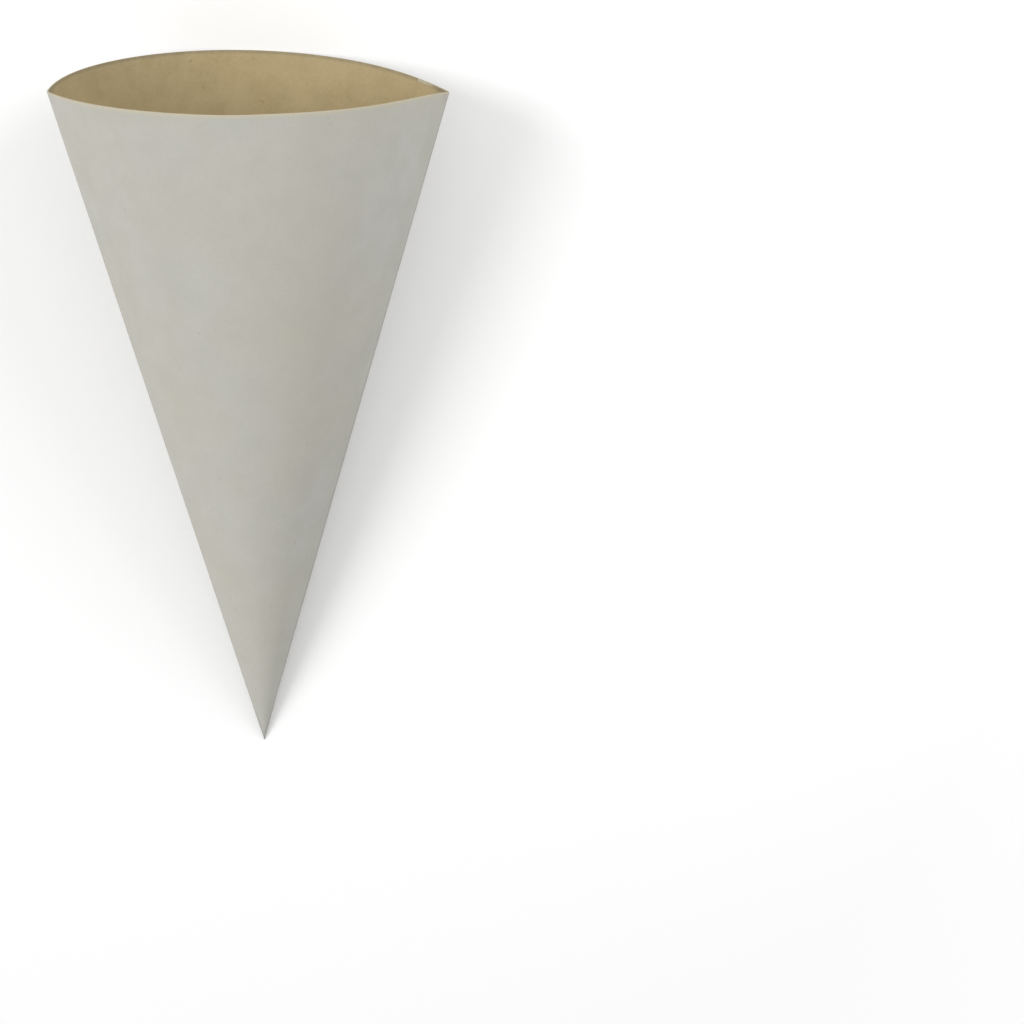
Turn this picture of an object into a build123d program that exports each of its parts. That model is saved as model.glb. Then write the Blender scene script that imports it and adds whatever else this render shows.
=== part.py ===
from build123d import *
import os
from math import cos, radians, sin, sqrt, tan

# A cone paper cup: one fan-shaped blank of board, folded at the left crease, closed at the right
# crease by a glued tab, and pressed open to a mouth shaped like a leaf. The point is closed.
# Sizes are in millimetres and angles in degrees. The cup is drawn upright, with its side lines
# meeting at the origin, its creases at -X and +X and its front wall at -Y, and is then laid down.

slant_length = 175.0  # along the board, from where the side lines meet to the rim
board = 0.5  # thickness of the board

mouth_width = 97.6  # from crease to crease
front_depth = 38.1  # from the line between the creases out to the front wall's crown
front_shift = -6.1  # and from the mouth's middle across to it
back_depth = 35.1  # out to the middle of the back wall's flat
back_shift = 5.9  # and across to it
flat_width = 8.8  # the strip that the cup rests on, at the rim
flat_lean = 10.8  # how far the flat turns towards the right crease

left_slope = 76.0  # between a wall and the line between the creases, at the left crease
right_slope = 56.5  # and at the right crease
left_fold_radius = 3.5  # inside of the left crease, a soft fold
right_fold_radius = 0.5  # inside of the right crease, pressed sharp

# How far a wall's outline holds its direction, as a share of half the mouth: out of the left
# crease, into its crown or flat, out of that again, and into the right crease.
front_reaches = (0.59, 0.27, 0.60, 0.47)
back_reaches = (0.68, 0.24, 0.41, 0.30)

tab_width = 12.0  # the glued tab at the rim, inside the back wall
tab_tip_width = 1.6  # and where it runs out beside the point
panel_edge_gap = 0.4  # bare fold left between the right crease and the back wall's cut edge

rim_shift = -6.6  # the arc of the rim is struck from a place this far to the left of the tip
tip_length = 13.5  # below this height the walls are pinched together into the point
pinched_tip = 0.9  # height of the point above the place where the side lines would meet
hollow_tip = 2.3  # and height of the bottom of the hollow
rim_waste = 4.2  # spare board drawn above the rim, which the cut of the rim takes off

stretches = 3  # faces that each curve of a wall is drawn in
spans = 3  # spans of the line along each face

FRONT = -1
BACK = 1

mouth_height = sqrt(slant_length**2 - (mouth_width / 2) ** 2)
left_angle = radians(left_slope)
right_angle = radians(right_slope)


def crease_direction(angle, across, side):
    """Direction in which a wall leaves a crease, across the mouth and out to one side"""
    return Vector(across * cos(angle), side * sin(angle))


def crown_ends(share, side):
    """Left and right end of the flat on the back wall, or the crown of the front wall twice"""
    if side == FRONT:
        crown = Vector(front_shift, FRONT * front_depth) * share
        return crown, crown
    middle = Vector(back_shift, BACK * back_depth) * share
    half_flat = Vector(cos(radians(flat_lean)), -sin(radians(flat_lean))) * (flat_width / 2 * share)
    return middle - half_flat, middle + half_flat


def wall_curves(share, side):
    """Outer face of one wall where the cone has a given share of its mouth's size: its left part
    runs from the left crease to the crown, and its right part from there to the right crease"""
    half_width = share * mouth_width / 2
    if side == FRONT:
        reaches = [reach * half_width for reach in front_reaches]
        crown_line = Vector(1, 0)
        right_end = board / sin(2 * right_angle)
    else:
        reaches = [reach * half_width for reach in back_reaches]
        crown_line = Vector(cos(radians(flat_lean)), -sin(radians(flat_lean)))
        right_end = board / tan(2 * right_angle) + panel_edge_gap
    crown_left, crown_right = crown_ends(share, side)

    corner = Vector(-half_width, 0)
    away = crease_direction(left_angle, 1, side)
    left_part = Bezier(
        corner + away * ((left_fold_radius + board) / tan(left_angle)),
        corner + away * reaches[0],
        crown_left - crown_line * reaches[1],
        crown_left,
    )
    corner = Vector(half_width, 0)
    away = crease_direction(right_angle, -1, side)
    right_part = Bezier(
        crown_right,
        crown_right + crown_line * reaches[2],
        corner + away * reaches[3],
        corner + away * ((right_fold_radius + board) / tan(right_angle) + right_end),
    )
    return left_part, right_part


def inset(curve, side, depth, place):
    """Point inside the board, at a depth below a place along a wall's outer face"""
    return curve @ place + (curve % place).rotate(Axis.Z, -90 * side) * depth


def wall_face(curve, side, depth, start=0.0, end=1.0):
    """Line of a wall's face at a depth below its outer one, in short stretches"""
    edges = []
    for number in range(stretches):
        first = start + (end - start) * number / stretches
        last = start + (end - start) * (number + 1) / stretches
        places = [first + (last - first) * span / spans for span in range(spans + 1)]
        points = [inset(curve, side, depth, place) for place in places]
        tangents = [curve % first, curve % last]
        edges.append(Spline(*points, tangents=tangents, tangent_scalars=(1, 1)))
    return edges


def left_fold(half_width, boards, radius):
    """Soft fold at the left crease, on the line that lies so many boards inside"""
    corner = Vector(-half_width + boards * board / sin(left_angle), 0)
    return fold_arcs(corner, 1, left_angle, radius)


def right_fold(half_width, front_boards, back_boards, radius):
    """Sharp fold at the right crease, between lines that lie so many boards inside each wall"""
    inward = (front_boards + back_boards) * board / (2 * sin(right_angle))
    forward = (back_boards - front_boards) * board / (2 * cos(right_angle))
    corner = Vector(half_width - inward, FRONT * forward)
    return fold_arcs(corner, -1, right_angle, radius)


def fold_arcs(corner, inward, angle, radius):
    """Round fold at a crease whose two walls leave it at the same angle, in short arcs"""
    back_end = corner + crease_direction(angle, inward, BACK) * (radius / tan(angle))
    front_end = corner + crease_direction(angle, inward, FRONT) * (radius / tan(angle))
    middle = corner + Vector(inward * (radius / sin(angle) - radius), 0)
    fold = ThreePointArc(back_end, middle, front_end)
    return [fold.trim(number / stretches, (number + 1) / stretches) for number in range(stretches)]


def outer_section(share):
    """Outline of the cup, with the back wall's cut edge standing beside the right fold"""
    half_width = share * mouth_width / 2
    front_left, front_right = wall_curves(share, FRONT)
    back_left, back_right = wall_curves(share, BACK)
    fold = right_fold(half_width, 0, 1, right_fold_radius + board)
    edge_foot = inset(back_right, BACK, board, 1)
    return make_face(
        [
            *left_fold(half_width, 0, left_fold_radius + board),
            *wall_face(front_left, FRONT, 0),
            *wall_face(front_right, FRONT, 0),
            *fold,
            Line(fold[0] @ 0, edge_foot),
            Line(edge_foot, back_right @ 1),
            *wall_face(back_right, BACK, 0),
            Line(*crown_ends(share, BACK)),
            *wall_face(back_left, BACK, 0),
        ]
    )


def inner_section(share):
    """Outline of the hollow, one board inside the walls and two boards inside along the tab"""
    half_width = share * mouth_width / 2
    front_left, front_right = wall_curves(share, FRONT)
    back_left, back_right = wall_curves(share, BACK)
    fold = right_fold(half_width, 1, 2, right_fold_radius)
    tab = tab_tip_width + (tab_width - tab_tip_width) * (share - low_share) / (1 - low_share)
    tab_start = 1 - tab / back_right.length
    tab_lip = inset(back_right, BACK, 2 * board, tab_start)
    return make_face(
        [
            *left_fold(half_width, 1, left_fold_radius),
            *wall_face(front_left, FRONT, board),
            *wall_face(front_right, FRONT, board),
            *fold,
            Line(fold[0] @ 0, inset(back_right, BACK, 2 * board, 1)),
            *wall_face(back_right, BACK, 2 * board, start=tab_start),
            Line(tab_lip, inset(back_right, BACK, board, tab_start)),
            *wall_face(back_right, BACK, board, end=tab_start),
            Line(inset(back_right, BACK, board, 0), inset(back_left, BACK, board, 1)),
            *wall_face(back_left, BACK, board),
        ]
    )


def cone_through(section, tip_height):
    """Solid whose straight sides run down from past the rim and close in a point"""
    high = Pos(0, 0, high_share * mouth_height) * section(high_share)
    low = Pos(0, 0, low_share * mouth_height) * section(low_share)
    return loft([low, high], ruled=True) + loft([Vertex(0, 0, tip_height), low], ruled=True)


def folded_cone():
    """The cup, upright: its board, with the rim cut square to the walls along a circular arc"""
    rim_cut = Pos(rim_shift, 0, 0) * Sphere(slant_length)
    board_and_hollow = cone_through(outer_section, pinched_tip) & rim_cut
    return board_and_hollow - cone_through(inner_section, hollow_tip)


def laid_down(cup):
    """The cup resting on the flat of its back wall, with its mouth to +Y"""
    flat_left, flat_right = [end + Vector(0, 0, mouth_height) for end in crown_ends(1, BACK)]
    up = flat_right.cross(flat_left).normalized()
    forward = Vector(0, 0, 1) - up * up.Z
    table = Plane(origin=(0, 0, 0), x_dir=forward.cross(up), z_dir=up)
    lying = table.to_local_coords(cup)
    room = lying.bounding_box()
    return Pos(-room.center().X, -room.center().Y, -room.min.Z) * lying


high_share = (slant_length + rim_waste) / mouth_height
low_share = tip_length / mouth_height

cone_cup = laid_down(folded_cone())
os.makedirs("parts", exist_ok=True)
export_step(cone_cup, "parts/cone_cup.step")
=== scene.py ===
from math import cos, pi, radians, sin, sqrt, tan

import bpy
from mathutils import Matrix, Vector


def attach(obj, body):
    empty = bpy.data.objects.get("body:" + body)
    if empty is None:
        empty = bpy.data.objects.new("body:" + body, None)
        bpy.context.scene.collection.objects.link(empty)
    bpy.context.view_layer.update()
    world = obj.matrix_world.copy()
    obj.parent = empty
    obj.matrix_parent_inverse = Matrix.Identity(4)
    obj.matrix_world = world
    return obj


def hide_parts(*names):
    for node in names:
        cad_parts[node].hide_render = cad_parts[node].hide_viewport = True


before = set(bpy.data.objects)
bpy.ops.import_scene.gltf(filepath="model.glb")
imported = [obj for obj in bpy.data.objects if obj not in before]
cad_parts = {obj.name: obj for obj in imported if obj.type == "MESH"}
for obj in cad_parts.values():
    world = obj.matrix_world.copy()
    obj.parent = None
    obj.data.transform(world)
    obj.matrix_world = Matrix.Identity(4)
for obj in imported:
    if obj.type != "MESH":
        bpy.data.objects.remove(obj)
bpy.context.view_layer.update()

# The cup is one fan-shaped blank of duplex board, off-white outside and kraft inside. It is folded
# at the left crease, closed at the right crease by a glued tab that lies inside the back wall, and
# pressed open. The line drawn here is the blank's, from the back wall's cut edge to the tab's edge.
slant_length = 0.175  # along the board, from where the side lines meet to the rim
board = 0.0005  # thickness of the board
mouth_width = 0.0976  # from crease to crease
front_crown = Vector((-0.0061, -0.0381))  # from the mouth's middle out to the front wall
flat_middle = Vector((0.0059, 0.0351))  # and out to the flat that the cup rests on
flat_width = 0.0088
flat_lean = radians(10.8)
left_angle = radians(76.0)  # between a wall and the line between the creases
right_angle = radians(56.5)
left_fold_radius = 0.0035  # inside of the soft fold
right_fold_radius = 0.0005  # and of the sharp one
tab_width = 0.012  # at the rim
tab_tip_width = 0.0016  # and beside the point
panel_edge_gap = 0.0004  # bare fold between the right crease and the back wall's cut edge
glue_line = 0.00003
pinch_height = 0.0135  # below this height the walls are pinched together into the point
rim_waste = 0.0042  # board drawn above the rim, which the cut of the rim takes off

# Shares of half the mouth over which a wall holds its direction, at its ends and at its crown
front_reaches = (0.59, 0.27, 0.60, 0.47)
back_reaches = (0.68, 0.24, 0.41, 0.30)

wall_steps = 52
flat_steps = 6
fold_steps = 10
tab_steps = 10

FRONT, BACK = -1, 1
mouth_height = sqrt(slant_length**2 - (mouth_width / 2) ** 2)
high_share = (slant_length + rim_waste) / mouth_height
low_share = pinch_height / mouth_height
along_flat = Vector((cos(flat_lean), -sin(flat_lean)))
doubled = board + glue_line


def crease_direction(angle, across, side):
    """Direction in which a wall leaves a crease"""
    return Vector((across * cos(angle), side * sin(angle)))


def wall_handles(share, side):
    """Handles of the two curves of a wall's outer face, left to right, at a share of the mouth"""
    half_width = share * mouth_width / 2
    left_corner = Vector((-half_width, 0))
    left_away = crease_direction(left_angle, 1, side)
    right_corner = Vector((half_width, 0))
    right_away = crease_direction(right_angle, -1, side)
    if side == FRONT:
        reaches = front_reaches
        crown_line = Vector((1, 0))
        crown_left = crown_right = front_crown * share
        right_end = doubled / sin(2 * right_angle)
    else:
        reaches = back_reaches
        crown_line = along_flat
        crown_left = (flat_middle - along_flat * flat_width / 2) * share
        crown_right = (flat_middle + along_flat * flat_width / 2) * share
        right_end = doubled / tan(2 * right_angle) + panel_edge_gap
    left_part = (
        left_corner + left_away * ((left_fold_radius + board) / tan(left_angle)),
        left_corner + left_away * (reaches[0] * half_width),
        crown_left - crown_line * (reaches[1] * half_width),
        crown_left,
    )
    right_part = (
        crown_right,
        crown_right + crown_line * (reaches[2] * half_width),
        right_corner + right_away * (reaches[3] * half_width),
        right_corner + right_away * ((right_fold_radius + board) / tan(right_angle) + right_end),
    )
    return left_part, right_part


def curve_at(handles, place):
    """Point of a curve and the direction in which it runs there"""
    first, second, third, fourth = handles
    rest = 1 - place
    point = first * rest**3 + second * (3 * rest**2 * place)
    point += third * (3 * rest * place**2) + fourth * place**3
    along = (second - first) * rest**2 + (third - second) * (2 * rest * place)
    along += (fourth - third) * place**2
    return point, along.normalized()


def along_wall(handles, first, last, steps, depth=0.0):
    """Outer and inner points of the board along a wall, at a depth below its outer face. The
    blank runs anticlockwise seen from the mouth, so that its inside is on the left."""
    points = []
    forward = 1 if last > first else -1
    for number in range(steps):
        point, along = curve_at(handles, first + (last - first) * number / steps)
        inward = Vector((-along.y, along.x)) * forward
        points.append((point + inward * depth, point + inward * (depth + board)))
    return points


def round_fold(centre, radius, first, last):
    """Outer and inner points of the board round a fold"""
    points = []
    for number in range(fold_steps):
        angle = first + (last - first) * number / fold_steps
        away = Vector((cos(angle), sin(angle)))
        points.append((centre + away * (radius + board), centre + away * radius))
    return points


def across_the_blank(share):
    """The board's outer and inner points across the blank, where the cone has a given share of
    its mouth's size"""
    half_width = share * mouth_width / 2
    front_left, front_right = wall_handles(share, FRONT)
    back_left, back_right = wall_handles(share, BACK)
    flat = (back_right[0], back_right[0].lerp(back_left[3], 1 / 3))
    flat += (back_right[0].lerp(back_left[3], 2 / 3), back_left[3])
    left_centre = Vector(((left_fold_radius + board) / sin(left_angle) - half_width, 0))
    right_centre = Vector((
        half_width - (doubled / 2 + right_fold_radius + board) / sin(right_angle),
        -doubled / (2 * cos(right_angle)),
    ))
    tab = tab_tip_width + (tab_width - tab_tip_width) * (share - low_share) / (1 - low_share)
    panel = [curve_at(back_right, number / wall_steps)[0] for number in range(wall_steps + 1)]
    panel_length = sum((panel[n + 1] - panel[n]).length for n in range(wall_steps))
    tab_end = 1 - tab / panel_length
    points = along_wall(back_right, 1, 0, wall_steps)
    points += along_wall(flat, 0, 1, flat_steps)
    points += along_wall(back_left, 1, 0, wall_steps)
    points += round_fold(left_centre, left_fold_radius, pi / 2 + left_angle, 3 * pi / 2 - left_angle)
    points += along_wall(front_left, 0, 1, wall_steps)
    points += along_wall(front_right, 0, 1, wall_steps)
    points += round_fold(right_centre, right_fold_radius, right_angle - pi / 2, pi / 2 - right_angle)
    points += along_wall(back_right, 1, tab_end, tab_steps, doubled)
    points += along_wall(back_right, tab_end, 0, 1, doubled)
    return points


def placed(points, share, face):
    """Points of the outer face, 0, or the inner face, 1, at the height that goes with the share"""
    return [Vector((*point[face], share * mouth_height)) for point in points]


above_rim = across_the_blank(high_share)
at_pinch = across_the_blank(low_share)
blank_line = bpy.data.meshes.new("blank_line")
columns = len(above_rim)
outer_top = placed(above_rim, high_share, 0)
blank_line.from_pydata(outer_top, [(n, n + 1) for n in range(columns - 1)], [])
turns = [0.0]
for number in range(1, columns):
    turns.append(turns[-1] + outer_top[number - 1].angle(outer_top[number]))
turns = [turn - turns[-1] / 2 for turn in turns]
for name, places in (
    ("inner_top", placed(above_rim, high_share, 1)),
    ("outer_foot", placed(at_pinch, low_share, 0)),
    ("inner_foot", placed(at_pinch, low_share, 1)),
):
    held = blank_line.attributes.new(name, "FLOAT_VECTOR", "POINT")
    held.data.foreach_set("vector", [part for place in places for part in place])
held = blank_line.attributes.new("turn", "FLOAT", "POINT")
held.data.foreach_set("value", turns)
cup = bpy.data.objects.new("folded_board", blank_line)
bpy.context.scene.collection.objects.link(cup)

# The walls follow straight lines from the point to the rim, and the rim is cut square to them along
# an arc. The five faces of the board, outside, inside, rim, cut edge and tab edge, follow one rule:
# a place across the blank, a row up from the point and a depth in the board give a point in space.
tip_height = 0.0009  # the point, above the place where the side lines would meet
hollow_tip = 0.0023  # and the bottom of the hollow
rim_shift = -0.0066  # the rim's arc is struck from this far to the left of the tip
rows = 84
pinch_rows = 10
edge_rows = 6
rim_rounding = 0.00004
rounding_power = 4.0  # keeps the rounding close to the two edges of the rim
waviness = 0.00012
wave_size = 0.03
wave_detail = 1.0
half_a_row = 0.5
weld_distance = 1e-6
sharp_from = radians(50)
just_inside = 0.001


def add(tree, kind, inputs=None, **settings):
    """A node with its settings, and its inputs by name or number: a value, or what feeds them"""
    node = tree.nodes.new(kind)
    for name, value in settings.items():
        setattr(node, name, value)
    for name, value in (inputs or {}).items():
        if isinstance(value, bpy.types.NodeSocket):
            tree.links.new(value, node.inputs[name])
        else:
            node.inputs[name].default_value = value
    return node


def reckon(tree, operation, *values):
    """What a Math node makes of numbers"""
    return add(tree, "ShaderNodeMath", dict(enumerate(values)), operation=operation).outputs[0]


def product(tree, first, *others):
    """Numbers multiplied together"""
    for other in others:
        first = reckon(tree, "MULTIPLY", first, other)
    return first


def vectors(tree, operation, *values, scale=None):
    """What a Vector Math node makes of vectors"""
    inputs = dict(enumerate(values))
    if scale is not None:
        inputs["Scale"] = scale
    node = add(tree, "ShaderNodeVectorMath", inputs, operation=operation)
    return node.outputs["Value" if operation in ("DOT_PRODUCT", "LENGTH") else "Vector"]


def between(tree, first, second, share):
    """The point at a share of the way from one point to another"""
    inputs = {"Factor": share, 4: first, 5: second}
    return add(tree, "ShaderNodeMix", inputs, data_type="VECTOR", clamp_factor=False).outputs[1]


def noise(tree, place, size, detail):
    """Noise whose blotches have a given size"""
    inputs = {"Vector": place, "Scale": reckon(tree, "DIVIDE", 1.0, size), "Detail": detail}
    return add(tree, "ShaderNodeTexNoise", inputs).outputs[0]


def new_tree(name, kind, inputs, outputs):
    """A node group, its input node's outputs and its output node"""
    tree = bpy.data.node_groups.new(name, kind)
    for label, socket, value in inputs:
        item = tree.interface.new_socket(label, in_out="INPUT", socket_type="NodeSocket" + socket)
        if value is not None:
            item.default_value = value
    for label, socket in outputs:
        tree.interface.new_socket(label, in_out="OUTPUT", socket_type="NodeSocket" + socket)
    return tree, add(tree, "NodeGroupInput").outputs, add(tree, "NodeGroupOutput")


# The rim lies where a line up the wall meets a sphere round the place that its arc is struck from
cut, cut_in, cut_out = new_tree(
    "Line To Rim",
    "GeometryNodeTree",
    [("Foot", "Vector", None), ("Top", "Vector", None), ("Rim Centre", "Vector", None),
     ("Slant Length", "Float", None)],
    [("Rim Point", "Vector")],
)
run = vectors(cut, "SUBTRACT", cut_in["Top"], cut_in["Foot"])
offset = vectors(cut, "SUBTRACT", cut_in["Foot"], cut_in["Rim Centre"])
run_squared = vectors(cut, "DOT_PRODUCT", run, run)
overlap = vectors(cut, "DOT_PRODUCT", offset, run)
radius_squared = product(cut, cut_in["Slant Length"], cut_in["Slant Length"])
past_sphere = reckon(cut, "SUBTRACT", vectors(cut, "DOT_PRODUCT", offset, offset), radius_squared)
overlap_squared = product(cut, overlap, overlap)
under_root = reckon(cut, "SUBTRACT", overlap_squared, product(cut, run_squared, past_sphere))
rise = reckon(cut, "SUBTRACT", reckon(cut, "SQRT", under_root), overlap)
share_of_run = reckon(cut, "DIVIDE", rise, run_squared)
rim_point = vectors(cut, "ADD", cut_in["Foot"], vectors(cut, "SCALE", run, scale=share_of_run))
cut.links.new(rim_point, cut_out.inputs["Rim Point"])

rule, rule_in, rule_out = new_tree(
    "Board Point",
    "GeometryNodeTree",
    [("Blank Line", "Geometry", None), ("Column", "Float", None), ("Row", "Float", None),
     ("Depth", "Float", None), ("Rows", "Int", None), ("Pinch Rows", "Int", None),
     ("Slant Length", "Float", None), ("Rim Shift", "Float", None), ("Tip Height", "Float", None),
     ("Hollow Tip", "Float", None), ("Rim Rounding", "Float", None),
     ("Waviness", "Float", None), ("Wave Size", "Float", None)],
    [("Position", "Vector"), ("Turn", "Float"), ("Below Rim", "Float")],
)


def of_column(name, kind="FLOAT_VECTOR"):
    """What the blank's line holds at this column"""
    if name == "position":
        value = add(rule, "GeometryNodeInputPosition").outputs[0]
    else:
        by_name = {"Name": name}
        value = add(rule, "GeometryNodeInputNamedAttribute", by_name, data_type=kind).outputs[0]
    sample = {"Geometry": rule_in["Blank Line"], "Value": value, "Index": rule_in["Column"]}
    return add(rule, "GeometryNodeSampleIndex", sample, data_type=kind).outputs[0]


def face_point(top, foot, tip):
    """The point of one face at this column and row, and the rim's point above it"""
    inputs = {"Foot": of_column(foot), "Top": of_column(top), "Rim Centre": rim_centre}
    inputs["Slant Length"] = rule_in["Slant Length"]
    rim = add(rule, "GeometryNodeGroup", inputs, node_tree=cut).outputs[0]
    point_of_cone = add(rule, "ShaderNodeCombineXYZ", {"Z": rule_in[tip]}).outputs[0]
    on_wall = between(rule, of_column(foot), rim, wall_share)
    return between(rule, point_of_cone, on_wall, pinch_share), rim


rim_centre = add(rule, "ShaderNodeCombineXYZ", {"X": rule_in["Rim Shift"]}).outputs[0]
pinch_share = reckon(rule, "DIVIDE", rule_in["Row"], rule_in["Pinch Rows"])
pinch_share = reckon(rule, "MINIMUM", pinch_share, 1.0)
rim_row = reckon(rule, "SUBTRACT", rule_in["Rows"], 1)
wall_rows = reckon(rule, "SUBTRACT", rim_row, rule_in["Pinch Rows"])
above_pinch = reckon(rule, "SUBTRACT", rule_in["Row"], rule_in["Pinch Rows"])
wall_share = reckon(rule, "MAXIMUM", reckon(rule, "DIVIDE", above_pinch, wall_rows), 0.0)
outer, outer_rim = face_point("position", "outer_foot", "Tip Height")
inner, _ = face_point("inner_top", "inner_foot", "Hollow Tip")
flat_place = between(rule, outer, inner, rule_in["Depth"])
waves = noise(rule, outer, rule_in["Wave Size"], wave_detail)
push = product(rule, waves, rule_in["Waviness"], pinch_share)
inward = vectors(rule, "NORMALIZE", vectors(rule, "SUBTRACT", inner, outer))
wavy_place = vectors(rule, "ADD", flat_place, vectors(rule, "SCALE", inward, scale=push))
at_rim = reckon(rule, "COMPARE", rule_in["Row"], rim_row, half_a_row)
off_middle = reckon(rule, "MULTIPLY_ADD", rule_in["Depth"], 2.0, -1.0)
at_edges = reckon(rule, "POWER", reckon(rule, "ABSOLUTE", off_middle), rounding_power)
sinking = product(rule, at_edges, at_rim, rule_in["Rim Rounding"])
to_tip = vectors(rule, "SCALE", vectors(rule, "NORMALIZE", wavy_place), scale=-1.0)
rounded_place = vectors(rule, "ADD", wavy_place, vectors(rule, "SCALE", to_tip, scale=sinking))
to_rim = vectors(rule, "LENGTH", vectors(rule, "SUBTRACT", outer_rim, outer))
rule.links.new(rounded_place, rule_out.inputs["Position"])
rule.links.new(of_column("turn", "FLOAT"), rule_out.inputs["Turn"])
rule.links.new(to_rim, rule_out.inputs["Below Rim"])

sizes = {
    "Columns": ("Int", columns),
    "Rows": ("Int", rows),
    "Pinch Rows": ("Int", pinch_rows),
    "Edge Rows": ("Int", edge_rows),
    "Slant Length": ("Float", slant_length),
    "Rim Shift": ("Float", rim_shift),
    "Tip Height": ("Float", tip_height),
    "Hollow Tip": ("Float", hollow_tip),
    "Rim Rounding": ("Float", rim_rounding),
    "Waviness": ("Float", waviness),
    "Wave Size": ("Float", wave_size),
}
materials = {"Outside": "off_white_liner", "Cut Edge": "cut_board", "Inside": "kraft_liner"}
rolled, rolled_in, rolled_out = new_tree(
    "Folded Board",
    "GeometryNodeTree",
    [("Blank Line", "Geometry", None)]
    + [(name, kind, None) for name, (kind, _) in sizes.items()]
    + [(name, "Material", None) for name in materials],
    [("Cup", "Geometry")],
)
wide, tall, thick = rolled_in["Columns"], rolled_in["Rows"], rolled_in["Edge Rows"]
last_column = reckon(rolled, "SUBTRACT", wide, 1)
last_row = reckon(rolled, "SUBTRACT", tall, 1)
last_edge_row = reckon(rolled, "SUBTRACT", thick, 1)


def board_face(across, up, column, row, depth, flip=False):
    """One face of the board as a grid. Column, row and depth are each "across" or "up", to run
    from 0 along that side of the grid, or the one value that they have all over the face."""
    grid = add(rolled, "GeometryNodeMeshGrid", {"Vertices X": across, "Vertices Y": up})
    index = add(rolled, "GeometryNodeInputIndex").outputs[0]
    steps = {
        "across": reckon(rolled, "FLOOR", reckon(rolled, "DIVIDE", index, up)),
        "up": reckon(rolled, "FLOORED_MODULO", index, up),
    }
    if isinstance(depth, str):
        depth = reckon(rolled, "DIVIDE", steps[depth], last_edge_row)
    inputs = {name: rolled_in[name] for name in sizes if name not in ("Columns", "Edge Rows")}
    inputs["Blank Line"] = rolled_in["Blank Line"]
    inputs["Column"] = steps[column] if isinstance(column, str) else column
    inputs["Row"] = steps[row] if isinstance(row, str) else row
    inputs["Depth"] = depth
    point = add(rolled, "GeometryNodeGroup", inputs, node_tree=rule).outputs
    shape = {"Geometry": grid.outputs["Mesh"], "Position": point["Position"]}
    shape = add(rolled, "GeometryNodeSetPosition", shape).outputs[0]
    slant = vectors(rolled, "LENGTH", point["Position"])
    blank_x = product(rolled, slant, reckon(rolled, "SINE", point["Turn"]))
    blank_y = product(rolled, slant, reckon(rolled, "COSINE", point["Turn"]))
    on_blank = add(rolled, "ShaderNodeCombineXYZ", {"X": blank_x, "Y": blank_y}).outputs[0]
    on_blank = add(rolled, "GeometryNodeFieldOnDomain", {"Value": on_blank},
                   data_type="FLOAT_VECTOR", domain="POINT").outputs[0]
    for name, kind, domain, value in (
        ("blank", "FLOAT2", "CORNER", on_blank),
        ("depth", "FLOAT", "POINT", depth),
        ("below_rim", "FLOAT", "POINT", point["Below Rim"]),
    ):
        stored = {"Geometry": shape, "Name": name, "Value": value}
        shape = add(rolled, "GeometryNodeStoreNamedAttribute", stored,
                    data_type=kind, domain=domain).outputs[0]
    if flip:
        shape = add(rolled, "GeometryNodeFlipFaces", {"Mesh": shape}).outputs[0]
    return shape


joined = add(rolled, "GeometryNodeJoinGeometry")
for face in (
    board_face(wide, tall, "across", "up", 0.0),
    board_face(wide, tall, "across", "up", 1.0, flip=True),
    board_face(wide, thick, "across", last_row, "up"),
    board_face(tall, thick, 0.0, "across", "up"),
    board_face(tall, thick, last_column, "across", "up", flip=True),
):
    rolled.links.new(face, joined.inputs[0])
weld = {"Geometry": joined.outputs[0], "Distance": weld_distance}
welded = add(rolled, "GeometryNodeMergeByDistance", weld).outputs[0]
edge_angle = add(rolled, "GeometryNodeInputMeshEdgeAngle").outputs["Unsigned Angle"]
sharp = reckon(rolled, "GREATER_THAN", edge_angle, sharp_from)
marks = {"Geometry": welded, "Name": "sharp_edge", "Value": sharp}
marked = add(rolled, "GeometryNodeStoreNamedAttribute", marks,
             data_type="BOOLEAN", domain="EDGE").outputs[0]
finished = add(rolled, "GeometryNodeRealizeInstances", {"Geometry": marked}).outputs[0]
how_deep = add(rolled, "GeometryNodeInputNamedAttribute", {"Name": "depth"}).outputs[0]
for name, deeper_than in (
    ("Outside", -1.0),
    ("Cut Edge", just_inside),
    ("Inside", 1.0 - just_inside),
):
    chosen = reckon(rolled, "GREATER_THAN", how_deep, deeper_than)
    faces = {"Geometry": finished, "Selection": chosen, "Material": rolled_in[name]}
    finished = add(rolled, "GeometryNodeSetMaterial", faces).outputs[0]
rolled.links.new(finished, rolled_out.inputs["Cup"])

rolling = cup.modifiers.new("Folded Board", "NODES")
rolling.node_group = rolled
sockets = {item.name: item.identifier for item in rolled.interface.items_tree if item.in_out == "INPUT"}
for name, (_, value) in sizes.items():
    rolling[sockets[name]] = value
for name, look in materials.items():
    rolling[sockets[name]] = bpy.data.materials.new(look)

# The cup lies on the flat of its back wall, with its mouth to +Y and its apex, where the side
# lines would meet, at this place on the table.
apex = Vector((0.0006576, -0.0878115, 0))
shaped = cup.evaluated_get(bpy.context.evaluated_depsgraph_get())
cup.data = bpy.data.meshes.new_from_object(shaped)
cup.modifiers.clear()
cup.data.materials.pop(index=0)
flat_left = Vector((*(flat_middle - along_flat * flat_width / 2), mouth_height))
flat_right = Vector((*(flat_middle + along_flat * flat_width / 2), mouth_height))
up = flat_right.cross(flat_left).normalized()
forward = (Vector((0, 0, 1)) - up * up.z).normalized()
laid = Matrix((forward.cross(up), forward, up)).to_4x4()
cup.data.transform(Matrix.Translation(apex) @ laid)
cup.data.shade_smooth()

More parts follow.
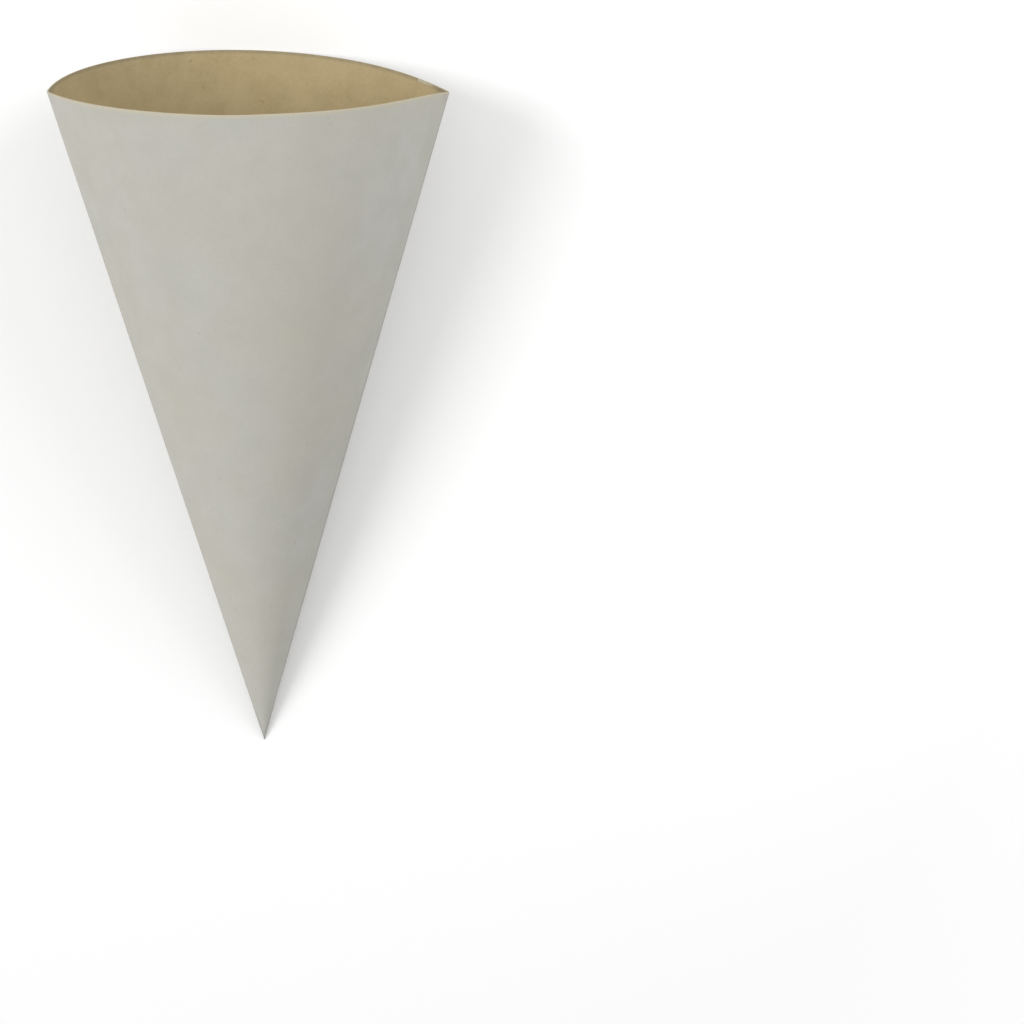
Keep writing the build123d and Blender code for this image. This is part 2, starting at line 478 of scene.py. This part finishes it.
# Both liners of the board are felted fibre: soft clouds where the stock lies thicker, a fine grain,
# single fibres that cross each other, and a few dark flecks of bark. The pattern lies on the blank.
surface, felt_in, felt_out = new_tree(
    "Felted Fibre",
    "ShaderNodeTree",
    [("Place", "Vector", None), ("Light Stock", "Color", None), ("Dark Stock", "Color", None),
     ("Warm Stock", "Color", None), ("Fibre", "Color", None), ("Fleck", "Color", None),
     ("Cloud Size", "Float", 0.01), ("Cloud Amount", "Float", 0.5),
     ("Warm Amount", "Float", 0.5), ("Fibre Amount", "Float", 0.3),
     ("Fleck Share", "Float", 0.02)],
    [("Color", "Color"), ("Roughness", "Float"), ("Height", "Float")],
)
whole = (0.0, 1.0)
cloud_detail = 4.0
cloud_span = (0.34, 0.66)  # a span is the stretch of a noise over which it takes full effect
cloud_roughness = (0.66, 0.8)
warm_size = 0.034
warm_detail = 2.0
warm_span = (0.3, 0.7)
grain_size = 0.0003
grain_detail = 3.0
grain_span = (0.35, 0.65)
grain_strength = 0.25  # beside a fibre's
fibre_width = 0.00006
fibre_length = 0.0016
fibre_angles = (14, -31, 68, -84, 41, -58)
fibre_spread = 7.0  # between the fibres of one angle and the next, in the noise that draws them
fibre_scale = 0.35
fibre_bend = 0.9
fibre_span = (0.62, 0.74)
fibre_height = 0.5  # beside the grain's
fleck_spacing = 0.003
fleck_slimness = 3.8
fleck_reaches = (0.0002, 0.0008)
fleck_core = 0.3
fleck_strengths = (0.2, 0.65)
two_turns = 4 * pi
reshuffling = 7.0


def ramp(tree, value, span, to=whole, **settings):
    """What a value gives over a span of it: from one number to another, and no more beyond"""
    inputs = {"Value": value, "From Min": span[0], "From Max": span[1], "To Min": to[0], "To Max": to[1]}
    return add(tree, "ShaderNodeMapRange", inputs, **settings).outputs[0]


def overlaid(tree, below, above, share, blend="MIX"):
    """A colour with a share of another one over it"""
    inputs = {"Factor": share, 6: below, 7: above}
    return add(tree, "ShaderNodeMix", inputs, data_type="RGBA", blend_type=blend).outputs[2]


def turned(tree, place, angle):
    """A place on the blank, turned in its plane"""
    inputs = {"Vector": place, "Angle": angle}
    return add(tree, "ShaderNodeVectorRotate", inputs, rotation_type="Z_AXIS").outputs[0]


clouds = ramp(surface, noise(surface, felt_in["Place"], felt_in["Cloud Size"], cloud_detail), cloud_span)
warmth = ramp(surface, noise(surface, felt_in["Place"], warm_size, warm_detail), warm_span)
grain = noise(surface, felt_in["Place"], grain_size, grain_detail)
fibres = 0.0
for number, fibre_angle in enumerate(fibre_angles):
    along_fibre = turned(surface, felt_in["Place"], radians(fibre_angle))
    stretched = vectors(surface, "MULTIPLY", along_fibre, (1 / fibre_width, 1 / fibre_length, 0.0))
    apart = vectors(surface, "ADD", stretched, (0.0, 0.0, fibre_spread * number))
    strands = {"Vector": apart, "Scale": fibre_scale, "Detail": 0.0, "Distortion": fibre_bend}
    strands = add(surface, "ShaderNodeTexNoise", strands).outputs[0]
    fibres = reckon(surface, "MAXIMUM", fibres, ramp(surface, strands, fibre_span))
spots = add(surface, "ShaderNodeTexVoronoi", {"Vector": felt_in["Place"], "Scale": 1 / fleck_spacing})
drawn = add(surface, "ShaderNodeSeparateXYZ", {"Vector": spots.outputs["Color"]}).outputs
picked = reckon(surface, "LESS_THAN", drawn[0], felt_in["Fleck Share"])
from_fleck = vectors(surface, "SUBTRACT", felt_in["Place"], spots.outputs["Position"])
from_fleck = turned(surface, from_fleck, product(surface, drawn[1], two_turns))
from_fleck = vectors(surface, "MULTIPLY", from_fleck, (1.0, fleck_slimness, 0.0))
from_fleck = vectors(surface, "LENGTH", from_fleck)
fleck_reach = ramp(surface, drawn[2], whole, fleck_reaches)
core_reach = product(surface, fleck_reach, fleck_core)
inside_fleck = ramp(surface, from_fleck, (core_reach, fleck_reach), (1.0, 0.0))
fleck_strength = reckon(surface, "FRACT", product(surface, drawn[2], reshuffling))
fleck_strength = ramp(surface, fleck_strength, whole, fleck_strengths)
flecks = product(surface, picked, inside_fleck, fleck_strength)
cloudy = product(surface, clouds, felt_in["Cloud Amount"])
warm = product(surface, warmth, felt_in["Warm Amount"])
grainy = product(surface, ramp(surface, grain, grain_span), grain_strength)
fibrous = product(surface, reckon(surface, "MAXIMUM", fibres, grainy), felt_in["Fibre Amount"])
stock = overlaid(surface, felt_in["Light Stock"], felt_in["Dark Stock"], cloudy)
stock = overlaid(surface, stock, felt_in["Warm Stock"], warm)
stock = overlaid(surface, stock, felt_in["Fibre"], fibrous)
stock = overlaid(surface, stock, felt_in["Fleck"], flecks)
relief = reckon(surface, "ADD", product(surface, fibres, fibre_height), grain)
surface.links.new(stock, felt_out.inputs["Color"])
surface.links.new(ramp(surface, clouds, whole, cloud_roughness), felt_out.inputs["Roughness"])
surface.links.new(relief, felt_out.inputs["Height"])

# What die and folder leave on the liners, with painted shade: a band along the rim, cream outside
# and darker inside, scuffed pale on the tab; fibre crushed along both creases with painted shade of
# the folds in it, most of all along the pinched point; painted shade in the mouth's corners; and the
# point darker towards its end.
# The creases are straight on the blank.
worked_and_shaded, worked_in, worked_out = new_tree(
    "Worked And Shaded Board",
    "ShaderNodeTree",
    [("Stock", "Color", None), ("Place", "Vector", None), ("Below Rim", "Float", None),
     ("Rim Band", "Color", None), ("Rim Band Width", "Float", None),
     ("Rim Band Amount", "Float", None), ("Tab Band", "Color", None),
     ("Tab Band Amount", "Float", None),
     ("Left Crease Normal", "Vector", None), ("Right Crease Normal", "Vector", None),
     ("Crushed Fibre And Shade", "Color", None), ("Crushed And Shaded Width", "Float", None),
     ("Left Crease Amount", "Float", None), ("Right Crease Amount", "Float", None),
     ("Corner Shade Width", "Float", None), ("Corner Shade Amount", "Float", None),
     ("Pinched Length", "Float", None), ("Pinched Amount", "Float", None),
     ("Point Darkening Colour", "Color", None), ("Point Darkening Length", "Float", None),
     ("Point Darkening Amount", "Float", None)],
    [("Color", "Color")],
)
patch_scale = 900.0
patch_detail = 3.0
patch_span = (0.35, 0.6)
patch_strengths = (0.55, 1.0)
tab_from = (0.005, 0.0075)  # from the right crease to where the pale band has set in
tab_band_share = 0.8  # of the rim band's width
corner_slimness = 1.6
felt_bump = 0.6
liner_gloss = 0.25


def fading(tree, distance, width, amount):
    """An amount that fades out over the outer two thirds of a width"""
    span = (reckon(tree, "DIVIDE", width, 3.0), width)
    return ramp(tree, distance, span, (amount, 0.0), interpolation_type="SMOOTHSTEP")


patches = {"Vector": worked_in["Place"], "Scale": patch_scale, "Detail": patch_detail}
patches = add(worked_and_shaded, "ShaderNodeTexNoise", patches).outputs[0]
patchy = ramp(worked_and_shaded, patches, patch_span, patch_strengths)
below_rim = worked_in["Below Rim"]
rim_band = fading(worked_and_shaded, below_rim, worked_in["Rim Band Width"], worked_in["Rim Band Amount"])
tab_band_width = product(worked_and_shaded, worked_in["Rim Band Width"], tab_band_share)
tab_band = fading(worked_and_shaded, below_rim, tab_band_width, worked_in["Tab Band Amount"])
beyond_crease = vectors(worked_and_shaded, "DOT_PRODUCT", worked_in["Place"], worked_in["Right Crease Normal"])
on_tab = ramp(worked_and_shaded, beyond_crease, tab_from)
finish = overlaid(worked_and_shaded, worked_in["Stock"], worked_in["Rim Band"], product(worked_and_shaded, rim_band, patchy))
finish = overlaid(worked_and_shaded, finish, worked_in["Tab Band"], product(worked_and_shaded, tab_band, on_tab, patchy))
from_point = vectors(worked_and_shaded, "LENGTH", worked_in["Place"])
pinched = fading(worked_and_shaded, from_point, worked_in["Pinched Length"], worked_in["Pinched Amount"])
for side in ("Left", "Right"):
    crease_normal = worked_in[side + " Crease Normal"]
    off_crease = vectors(worked_and_shaded, "DOT_PRODUCT", worked_in["Place"], crease_normal)
    off_crease = reckon(worked_and_shaded, "ABSOLUTE", off_crease)
    # Darker along the crease: crushed fibre with painted shade of the fold, more along the pinched point
    crushed_and_shaded = reckon(worked_and_shaded, "MAXIMUM", worked_in[side + " Crease Amount"], pinched)
    crushed_and_shaded = fading(worked_and_shaded, off_crease, worked_in["Crushed And Shaded Width"], crushed_and_shaded)
    # Painted shade in the mouth's corner, where the crease meets the rim
    off_corner = add(worked_and_shaded, "ShaderNodeCombineXYZ", {"X": off_crease, "Y": below_rim}).outputs[0]
    off_corner = vectors(worked_and_shaded, "MULTIPLY", off_corner, (1.0, corner_slimness, 0.0))
    off_corner = vectors(worked_and_shaded, "LENGTH", off_corner)
    painted_corner_shade = fading(worked_and_shaded, off_corner, worked_in["Corner Shade Width"], worked_in["Corner Shade Amount"])
    crushed_and_shaded = product(worked_and_shaded, reckon(worked_and_shaded, "MAXIMUM", crushed_and_shaded, painted_corner_shade), patchy)
    finish = overlaid(worked_and_shaded, finish, worked_in["Crushed Fibre And Shade"], crushed_and_shaded)
# Darker towards the point's end
darker_point = fading(worked_and_shaded, from_point, worked_in["Point Darkening Length"], worked_in["Point Darkening Amount"])
finish = overlaid(worked_and_shaded, finish, worked_in["Point Darkening Colour"], product(worked_and_shaded, darker_point, patchy))
worked_and_shaded.links.new(finish, worked_out.inputs["Color"])

crease_normals = {}
for side, column in (
    ("Left", 2 * wall_steps + flat_steps + fold_steps // 2),
    ("Right", 4 * wall_steps + flat_steps + 3 * fold_steps // 2),
):
    crease_normals[side + " Crease Normal"] = (cos(turns[column]), -sin(turns[column]), 0.0)


def colour(red, green, blue):
    """The colour that shows as these shares of 255"""
    parts = [part / 255 for part in (red, green, blue)]
    return (*[p / 12.92 if p <= 0.04045 else ((p + 0.055) / 1.055) ** 2.4 for p in parts], 1.0)


def board_material(name, bump_height, fibre, marks_and_shade):
    """A liner's material: felted fibre, marks of die and folder, and painted shade at creases and
    corners
    """
    material = bpy.data.materials[name]
    material.use_nodes = True
    tree = material.node_tree
    shader = tree.nodes["Principled BSDF"]
    place = add(tree, "ShaderNodeUVMap", uv_map="blank").outputs[0]
    felt = add(tree, "ShaderNodeGroup", {"Place": place, **fibre}, node_tree=surface).outputs
    below = add(tree, "ShaderNodeAttribute", attribute_name="below_rim").outputs["Fac"]
    inputs = {"Stock": felt["Color"], "Place": place, "Below Rim": below, **crease_normals, **marks_and_shade}
    shown = add(tree, "ShaderNodeGroup", inputs, node_tree=worked_and_shaded).outputs["Color"]
    bump = {"Height": felt["Height"], "Strength": felt_bump, "Distance": bump_height}
    bump = add(tree, "ShaderNodeBump", bump).outputs[0]
    tree.links.new(shown, shader.inputs["Base Color"])
    tree.links.new(felt["Roughness"], shader.inputs["Roughness"])
    tree.links.new(bump, shader.inputs["Normal"])
    shader.inputs["Specular IOR Level"].default_value = liner_gloss


# Crease colours are crushed fibre with painted shade; corner amounts are painted shade in the corners
board_material(
    "off_white_liner", 0.00002,
    {"Light Stock": colour(193, 192, 186), "Dark Stock": colour(185, 184, 176),
     "Warm Stock": colour(191, 188, 174), "Fibre": colour(174, 171, 159),
     "Fleck": colour(166, 161, 148), "Cloud Size": 0.009, "Cloud Amount": 0.55,
     "Warm Amount": 0.7, "Fibre Amount": 0.22, "Fleck Share": 0.035},
    {"Rim Band": colour(200, 191, 166), "Rim Band Width": 0.0011, "Rim Band Amount": 0.7,
     "Tab Band": colour(200, 191, 166), "Tab Band Amount": 0.0,
     "Crushed Fibre And Shade": colour(150, 148, 142), "Crushed And Shaded Width": 0.0016,
     "Left Crease Amount": 0.12, "Right Crease Amount": 0.4,
     "Corner Shade Width": 0.007, "Corner Shade Amount": 0.25, "Pinched Length": 0.014, "Pinched Amount": 0.5,
     "Point Darkening Colour": colour(176, 176, 172), "Point Darkening Length": 0.006, "Point Darkening Amount": 0.7},
)
board_material(
    "kraft_liner", 0.00004,
    {"Light Stock": colour(183, 166, 126), "Dark Stock": colour(168, 151, 111),
     "Warm Stock": colour(180, 158, 121), "Fibre": colour(200, 187, 150),
     "Fleck": colour(112, 94, 62), "Cloud Size": 0.007, "Cloud Amount": 0.7,
     "Warm Amount": 0.6, "Fibre Amount": 0.28, "Fleck Share": 0.14},
    {"Rim Band": colour(136, 130, 110), "Rim Band Width": 0.0011, "Rim Band Amount": 0.6,
     "Tab Band": colour(205, 199, 180), "Tab Band Amount": 0.8,
     "Crushed Fibre And Shade": colour(124, 117, 97), "Crushed And Shaded Width": 0.0013,
     "Left Crease Amount": 0.1, "Right Crease Amount": 0.45,
     "Corner Shade Width": 0.007, "Corner Shade Amount": 0.6, "Pinched Length": 0.014, "Pinched Amount": 0.5,
     "Point Darkening Colour": colour(150, 134, 98), "Point Darkening Length": 0.004, "Point Darkening Amount": 0.4},
)

# The cut edge shows the board's plies: the off-white liner, a cream ply under it, and the kraft
# stock, which is paler where the knife has frayed it.
plies = (
    (0.0, colour(197, 195, 186)),
    (0.25, colour(203, 195, 173)),
    (0.6, colour(191, 178, 148)),
    (0.95, colour(172, 156, 120)),
)
fray_size = 0.00025
fray_detail = 3.0
fray_span = (0.35, 0.65)
fray_shades = (0.88, 1.06)
cut_board = bpy.data.materials["cut_board"]
cut_board.use_nodes = True
edge = cut_board.node_tree
edge_shader = edge.nodes["Principled BSDF"]
edge_shader.inputs["Roughness"].default_value = 0.85
edge_shader.inputs["Specular IOR Level"].default_value = 0.2
ply_depth = add(edge, "ShaderNodeAttribute", attribute_name="depth").outputs["Fac"]
ply_colour = add(edge, "ShaderNodeValToRGB", {"Fac": ply_depth})
stops = ply_colour.color_ramp.elements
for number, (depth, shade) in enumerate(plies):
    stop = stops[number] if number < 2 else stops.new(depth)
    stop.position = depth
    stop.color = shade
on_cup = add(edge, "ShaderNodeTexCoord").outputs["Object"]
frays = {"Vector": on_cup, "Scale": 1 / fray_size, "Detail": fray_detail}
frays = add(edge, "ShaderNodeTexNoise", frays).outputs[0]
fray_shade = ramp(edge, frays, fray_span, fray_shades)
edge_colour = overlaid(edge, ply_colour.outputs[0], fray_shade, 1.0, "MULTIPLY")
edge_bump = {"Height": frays, "Strength": 0.7, "Distance": 0.00006}
edge_bump = add(edge, "ShaderNodeBump", edge_bump).outputs[0]
edge.links.new(edge_colour, edge_shader.inputs["Base Color"])
edge.links.new(edge_bump, edge_shader.inputs["Normal"])

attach(cup, "root")
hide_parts("cone_cup")

# A white floor and a white room round it. Only the camera sees the floor as white, also far from the
# lamps; the light that it sends back is that of pale paint, and it keeps the cup's shadow.
floor_reach = 4.0
floor_drop = 0.00002
white = (1.0, 1.0, 1.0, 1.0)
pale_paint = (0.7, 0.7, 0.7, 1.0)
lamps_reach = 0.2
unlit_from = 0.7
missing_light = 0.4


def seen_by_camera(tree):
    """1 for rays from the camera, also by way of a mirror or through glass, and 0 for the others"""
    rays = add(tree, "ShaderNodeLightPath").outputs
    seen = reckon(tree, "MAXIMUM", rays["Is Camera Ray"], rays["Is Glossy Ray"])
    return reckon(tree, "MAXIMUM", seen, rays["Is Transmission Ray"])


floor_mesh = bpy.data.meshes.new("floor")
corners = ((-1, -1), (1, -1), (1, 1), (-1, 1))
floor_mesh.from_pydata(
    [(x * floor_reach, y * floor_reach, -floor_drop) for x, y in corners], [], [(0, 1, 2, 3)]
)
floor = bpy.data.objects.new("floor", floor_mesh)
bpy.context.scene.collection.objects.link(floor)
white_floor = bpy.data.materials.new("white_floor")
white_floor.use_nodes = True
floor.data.materials.append(white_floor)
paint = white_floor.node_tree
paint_shader = paint.nodes["Principled BSDF"]
paint_shader.inputs["Roughness"].default_value = 0.9
paint_shader.inputs["Specular IOR Level"].default_value = 0.0
paint_shader.inputs["Emission Color"].default_value = white
floor_seen = seen_by_camera(paint)
paint.links.new(overlaid(paint, pale_paint, white, floor_seen), paint_shader.inputs["Base Color"])
distance = vectors(paint, "LENGTH", add(paint, "ShaderNodeTexCoord").outputs["Object"])
added_light = ramp(paint, distance, (lamps_reach, unlit_from), (0.0, missing_light))
added_light = product(paint, floor_seen, added_light)
paint.links.new(added_light, paint_shader.inputs["Emission Strength"])

# Soft studio light: a pale room, a large lamp high on the left and a small one near the right
# corner of the mouth.
room_light = 0.626
lamps_aim = Vector((0, 0, 0.03))
world = bpy.data.worlds.new("studio")
bpy.context.scene.world = world
world.use_nodes = True
room = world.node_tree
strength = product(room, seen_by_camera(room), 1.0 - room_light)
strength = reckon(room, "ADD", strength, room_light)
background = room.nodes["Background"]
background.inputs["Color"].default_value = white
room.links.new(strength, background.inputs["Strength"])


def lamp(name, place, size, power):
    """A round lamp that the camera doesn't see"""
    light = bpy.data.lights.new(name, "AREA")
    light.shape = "DISK"
    light.size = size
    light.energy = power
    holder = bpy.data.objects.new(name, light)
    bpy.context.scene.collection.objects.link(holder)
    holder.location = place
    holder.rotation_euler = (lamps_aim - Vector(place)).to_track_quat("-Z", "Y").to_euler()
    holder.visible_camera = False


lamp("key_lamp", (-1.3, 0.2, 1.4), size=1.0, power=16.1)
lamp("fill_lamp", (0.2, 0.2, 0.24), size=0.2, power=0.315)

# The camera looks down on the front wall from above the mouth side, as the photo does.
view_tilt = radians(6.41)
view_roll = radians(0.27)
view_distance = 0.9354
view_middle = Vector((0.06324, -0.02904, -0.00551))
camera_data = bpy.data.cameras.new("camera")
camera_data.sensor_width = 36.0
camera_data.lens = 129.59
camera = bpy.data.objects.new("camera", camera_data)
bpy.context.scene.collection.objects.link(camera)
bpy.context.scene.camera = camera
towards = Vector((0, sin(view_tilt), cos(view_tilt)))
picture_up = Matrix.Rotation(view_roll, 3, towards) @ Vector((0, cos(view_tilt), -sin(view_tilt)))
camera_turn = Matrix((picture_up.cross(towards), picture_up, towards)).transposed().to_4x4()
camera.matrix_world = Matrix.Translation(view_middle + towards * view_distance) @ camera_turn
bpy.context.scene.view_settings.view_transform = "Standard"
